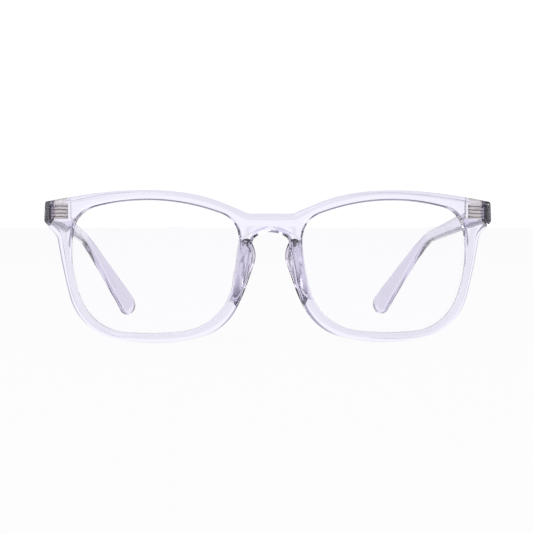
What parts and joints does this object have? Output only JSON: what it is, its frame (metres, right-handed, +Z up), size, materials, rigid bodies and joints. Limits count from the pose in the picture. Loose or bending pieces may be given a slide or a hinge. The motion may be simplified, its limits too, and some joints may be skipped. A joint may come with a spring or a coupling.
{
  "type": "blue light glasses",
  "caption": "Clear square full-rim plastic glasses with plain colourless lenses, plug-in nose pads and temples that fold on barrel hinges.",
  "frame": {"origin": "on the surface that the open glasses stand on, in the mirror plane, half way between the front of the bridge and the ends of the temples", "axes": "+X towards the wearer's left, -Y the way the glasses face, +Z up from the rims' lowest points"},
  "size_m": [0.1424, 0.1366, 0.048],
  "materials": {
    "clear_frame": "polished clear plastic with a faint lavender tint",
    "clear_lens": "polished clear colourless lens; no coating is visible",
    "clear_pad": "polished clear plastic",
    "hinge_metal": "nickel silver, satin",
    "screw_metal": "bright steel"
  },
  "bodies": {
    "front": {"front_frame": "clear_frame", "lens_left": "clear_lens", "nose_pad_left": "clear_pad", "hinge_front_leaf_left": "hinge_metal", "hinge_screw_left": "screw_metal", "lens_right": "clear_lens", "nose_pad_right": "clear_pad", "hinge_front_leaf_right": "hinge_metal", "hinge_screw_right": "screw_metal"},
    "temple_left": {"temple_left": "clear_frame", "hinge_temple_leaf_left": "hinge_metal"},
    "temple_right": {"temple_right": "clear_frame", "hinge_temple_leaf_right": "hinge_metal"}
  },
  "joints": [
    {"name": "temple_fold_left", "type": "hinge", "parent": "front", "child": "temple_left", "pos_m": [0.0656, -0.0546, 0.0413], "axis": [0, 0, 1], "range_deg": [0, 84]},
    {"name": "temple_fold_right", "type": "hinge", "parent": "front", "child": "temple_right", "pos_m": [-0.0656, -0.0546, 0.0413], "axis": [0, 0, -1], "range_deg": [0, 66]}
  ]
}
